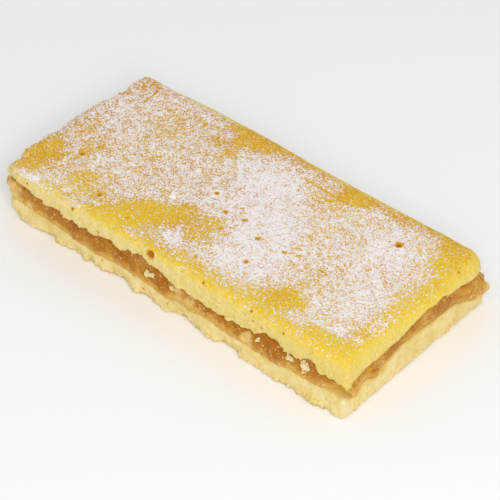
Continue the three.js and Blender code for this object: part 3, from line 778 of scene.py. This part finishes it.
thick = add_node(tree, "ShaderNodeMath", {0: speck, 1: 6, 2: thick}, operation="MULTIPLY_ADD")
thick = add_node(tree, "ShaderNodeMath", {0: clot, 1: 5, 2: thick}, operation="MULTIPLY_ADD")
thick = add_node(tree, "ShaderNodeMath", {0: wrinkle_shade, 1: -3, 2: thick}, operation="MULTIPLY_ADD")
# Painted shade: the wrinkles are painted darker gold.
colour = add_node(
    tree, "ShaderNodeMix",
    {"Factor": wrinkle_shade, "A": colour, "B": linear("#bd8429")}, data_type="RGBA",
)
cover = add_node(tree, "ShaderNodeMapRange", {"Value": thick, "From Max": 0.8})
heaped = add_node(tree, "ShaderNodeMapRange", {"Value": thick, "From Min": 0.5, "From Max": 2.8})
sugar = add_node(
    tree, "ShaderNodeMix",
    {"Factor": heaped, "A": linear("#e0cdc0"), "B": linear("#f7f1ef")}, data_type="RGBA",
)
colour = add_node(
    tree, "ShaderNodeMix", {"Factor": cover, "A": colour, "B": sugar}, data_type="RGBA",
)
tree.links.new(colour, shader.inputs["Base Color"])
shader.inputs["Roughness"].default_value = 0.8
shader.inputs["Specular IOR Level"].default_value = 0.12
shader.inputs["Subsurface Weight"].default_value = 0.15
shader.inputs["Subsurface Radius"].default_value = (1, 0.6, 0.25)
shader.inputs["Subsurface Scale"].default_value = 1 * MM
relief = add_node(tree, "ShaderNodeMapRange", {"Value": thick, "From Max": 3})
mealy = add_node(tree, "ShaderNodeMath", {0: crumb_share, 1: 1.8, 2: 1}, operation="MULTIPLY_ADD")
relief = add_node(tree, "ShaderNodeMath", {0: grain, 1: mealy, 2: relief}, operation="MULTIPLY_ADD")
bump = add_node(tree, "ShaderNodeBump", {"Height": relief, "Strength": 0.6, "Distance": 0.12 * MM})
tree.links.new(bump, shader.inputs["Normal"])

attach(crust, "root")
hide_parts("top_pastry")


# Icing sugar --------------------------------------------------------------------------------------
# Fine sugar sifted over the crust: the material above holds the film, and these are the grains and
# clots that stand on it.

GRAINS = 24000
GRAIN_WIDTHS = (0.16, 0.38)  # mm, least and most; real grains are finer and wouldn't show
GRAIN_CORNERS = np.array([(1, 0, 0), (0, 1, 0), (-1, 0, 0), (0, -1, 0), (0, 0, 0.7), (0, 0, -0.7)], float)
GRAIN_FACES = np.array([
    (0, 1, 4), (1, 2, 4), (2, 3, 4), (3, 0, 4), (1, 0, 5), (2, 1, 5), (3, 2, 5), (0, 3, 5),
])
CLOTS = 900
CLOT_WIDTHS = (0.35, 0.7)
CLOT_FLATNESS = 0.6  # height of a clot in widths
LUMPS_OF_SUGAR = [  # x, y, width of the few big lumps
    (-23.2, 5, 2), (-20.3, -10.3, 2.4), (-21.2, -8.9, 1.4), (15, 2, 1.3), (46, 13, 1.2), (-13, -24, 1),
]


def new_piece(name, points, faces):
    """A piece made from rows of vertices and rows of vertex numbers."""
    mesh = bpy.data.meshes.new(name)
    mesh.from_pydata(points.tolist(), [], faces.tolist())
    piece = bpy.data.objects.new(name, mesh)
    bpy.context.collection.objects.link(piece)
    return piece


def copied_faces(faces, corners, copies):
    """The faces of a shape with this many corners, for each of its copies in one mesh."""
    all_faces = faces[None] + np.arange(copies)[:, None, None] * corners
    return all_faces.reshape(-1, faces.shape[1])


def ball(subdivisions):
    """The vertices and faces of a round ball of radius 1."""
    bpy.ops.mesh.primitive_ico_sphere_add(subdivisions=subdivisions, radius=1)
    shape = bpy.context.object
    points = places(shape)
    faces = np.array([tuple(face.vertices) for face in shape.data.polygons])
    bpy.data.objects.remove(shape)
    return points, faces


def scattered(name, shape, faces, middles, sizes, draw):
    """One mesh of many small copies of a shape, each spun and dented in its own way."""
    spins = draw.uniform(0, 2 * math.pi, len(middles))
    cos, sin = np.cos(spins)[:, None], np.sin(spins)[:, None]
    dented = shape[None] * draw.uniform(0.7, 1.3, (len(middles), len(shape), 1)) * sizes[:, None, None]
    turned = np.stack([
        dented[..., 0] * cos - dented[..., 1] * sin,
        dented[..., 0] * sin + dented[..., 1] * cos,
        dented[..., 2],
    ], axis=-1) + middles[:, None]
    return new_piece(name, turned.reshape(-1, 3), copied_faces(faces, len(shape), len(middles)))


crust_points = places(crust)
crust_faces = [tuple(face.vertices) for face in crust.data.polygons]
crust_surface = BVHTree.FromPolygons([tuple(point) for point in crust_points], crust_faces)


def landed(x, y):
    """Where something that falls at x and y lands on the crust: its seat, facing and face number."""
    return crust_surface.ray_cast(Vector((x, y, 1)), Vector((0, 0, -1)))[:3]


def sifted(count, widths, evenness, draw):
    """Seats and radii of grains on the crust, drawn so that drifts get more than bare places."""
    low, high = crust_points.min(axis=0), crust_points.max(axis=0)
    seats = []
    for x, y, luck in draw.uniform((low[0], low[1], 0), (high[0], high[1], 1), (count * 5, 3)):
        seat, facing, face = landed(x, y)
        if seat is None or facing.z < 0.75:
            continue
        here = share[crust_faces[face][0]]
        if here > -0.9 and luck < evenness + (1 - evenness) * max(here, 0):
            seats.append(seat)
        if len(seats) == count:
            break
    return np.array(seats), draw.uniform(*widths, len(seats)) * 0.5 * MM


draw = np.random.default_rng(18)
seats, radii = sifted(GRAINS, GRAIN_WIDTHS, 0.09, draw)
grains = scattered("sugar_grains", GRAIN_CORNERS, GRAIN_FACES, seats, radii, draw)

ball_points, ball_faces = ball(1)
seats, radii = sifted(CLOTS, CLOT_WIDTHS, 0.01, draw)
clots = scattered("sugar_clots", ball_points * (1, 1, CLOT_FLATNESS), ball_faces, seats, radii, draw)

ball_points, ball_faces = ball(4)
lump_points = []
for i, (x, y, width) in enumerate(LUMPS_OF_SUGAR):
    bumpy = ball_points * (1 + 0.45 * lumps(ball_points * MM, 0.8, 20 + i, octaves=3))[:, None]
    lump_points.append(bumpy * (0.5, 0.5, 0.2) * width * MM + np.array(landed(x * MM, y * MM)[0]))
lump_faces = copied_faces(ball_faces, len(ball_points), len(LUMPS_OF_SUGAR))
sugar_lumps = new_piece("sugar_lumps", np.concatenate(lump_points), lump_faces)

tree, shader, where = new_material(grains, "icing sugar")
icing = grains.data.materials[0]
shader.inputs["Base Color"].default_value = linear("#f1eae7")
shader.inputs["Roughness"].default_value = 0.7
for piece in (clots, sugar_lumps):
    piece.data.materials.append(icing)
for piece in (grains, clots, sugar_lumps):
    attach(piece, "root")


# Crumbs -------------------------------------------------------------------------------------------
# Bits of shortcrust that the knife broke off, stuck to the wet filling on the cut front, and small
# ones that hang on the torn lower edges of both slabs.

RIM_CRUMBS = 150
RIM_CRUMB_WIDTHS = (0.3, 0.75)  # mm, least and most
CRUMB_DEPTH = 1.6
CRUMBS = [  # x, z, width, height
    (-10.6, 10.3, 1.5, 2.6), (-8.3, 10.2, 1.6, 1.6), (-0.4, 9.8, 1.3, 1.1), (34.8, 10.2, 1.2, 1.1),
    (47.8, 10.2, 2.6, 1.3), (46.8, 12.6, 0.9, 0.8), (53.8, 10.3, 2.7, 3.8), (52.6, 11.8, 1.4, 1.8),
]

fruit_points = places(fruit)
ball_points, ball_faces = ball(4)
crumb_points = []
for i, (x, z, width, tall) in enumerate(CRUMBS):
    place = np.array((x, -33.6, z)) * MM
    seat = fruit_points[np.linalg.norm(fruit_points - place, axis=1).argmin()]
    bumpy = ball_points * (1.05 + 0.7 * lumps(ball_points * MM, 0.8, 40 + i, octaves=3))[:, None]
    crumb_points.append(bumpy * (0.5 * width * MM, 0.5 * CRUMB_DEPTH * MM, 0.5 * tall * MM) + seat)
crumb_faces = copied_faces(ball_faces, len(ball_points), len(CRUMBS))
crumbs = new_piece("crumbs", np.concatenate(crumb_points), crumb_faces)

draw = np.random.default_rng(33)
rims = []
for piece, lowest, highest in ((base, 0.3, 1.6), (crust, 12, 14.5)):
    rim_points, rim_ways = places(piece), directions(piece)
    on_rim = (rim_points[:, 2] > lowest * MM) & (rim_points[:, 2] < highest * MM)
    on_rim &= np.abs(rim_ways[:, 2]) < 0.6
    rims.append(rim_points[draw.choice(np.flatnonzero(on_rim), RIM_CRUMBS // 2)])
rims = np.concatenate(rims)
radii = draw.uniform(*RIM_CRUMB_WIDTHS, len(rims)) * 0.5 * MM
ball_points, ball_faces = ball(2)
rim_crumbs = scattered("rim_crumbs", ball_points, ball_faces, rims, radii, draw)

tree, shader, where = new_material(crumbs, "crumb of shortcrust")
grain = add_node(tree, "ShaderNodeTexNoise", {"Vector": where, "Scale": per_mm(0.6), "Detail": 3})
colour = add_node(
    tree, "ShaderNodeMix",
    {"Factor": grain, "A": linear("#dcc07c"), "B": linear("#f3e6bd")}, data_type="RGBA",
)
tree.links.new(colour, shader.inputs["Base Color"])
shader.inputs["Roughness"].default_value = 0.85
tree, shader, where = new_material(rim_crumbs, "golden crumb of shortcrust")
grain = add_node(tree, "ShaderNodeTexNoise", {"Vector": where, "Scale": per_mm(5), "Detail": 3})
grain = add_node(tree, "ShaderNodeMapRange", {"Value": grain, "From Min": 0.4, "From Max": 0.6})
colour = add_node(
    tree, "ShaderNodeMix",
    {"Factor": grain, "A": linear("#dcb85a"), "B": linear("#ecd891")}, data_type="RGBA",
)
tree.links.new(colour, shader.inputs["Base Color"])
shader.inputs["Roughness"].default_value = 0.85

for piece in (crumbs, rim_crumbs):
    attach(piece, "root")


# Floor and light ----------------------------------------------------------------------------------
# A white table in a light tent: light from all round, and one large softbox above the camera.

bpy.ops.mesh.primitive_plane_add(size=4, location=(0, 0, -0.05 * MM))
floor = bpy.context.object
floor.name = "floor"
tree, shader, where = new_material(floor, "white paper")
shader.inputs["Base Color"].default_value = linear("#fafafa")
shader.inputs["Roughness"].default_value = 0.9

world = bpy.data.worlds.new("light_tent")
bpy.context.scene.world = world
world.use_nodes = True
world.node_tree.nodes["Background"].inputs["Color"].default_value = linear("#ffffff")
world.node_tree.nodes["Background"].inputs["Strength"].default_value = 0.68

softbox = bpy.data.lights.new("softbox", "AREA")
softbox.energy = 3.6
softbox.size = 0.4
lamp = bpy.data.objects.new("softbox", softbox)
lamp.location = (0.51, -0.46, 0.58)
lamp.rotation_euler = lamp.location.to_track_quat("Z", "Y").to_euler()
bpy.context.collection.objects.link(lamp)

bpy.context.scene.view_settings.view_transform = "Standard"
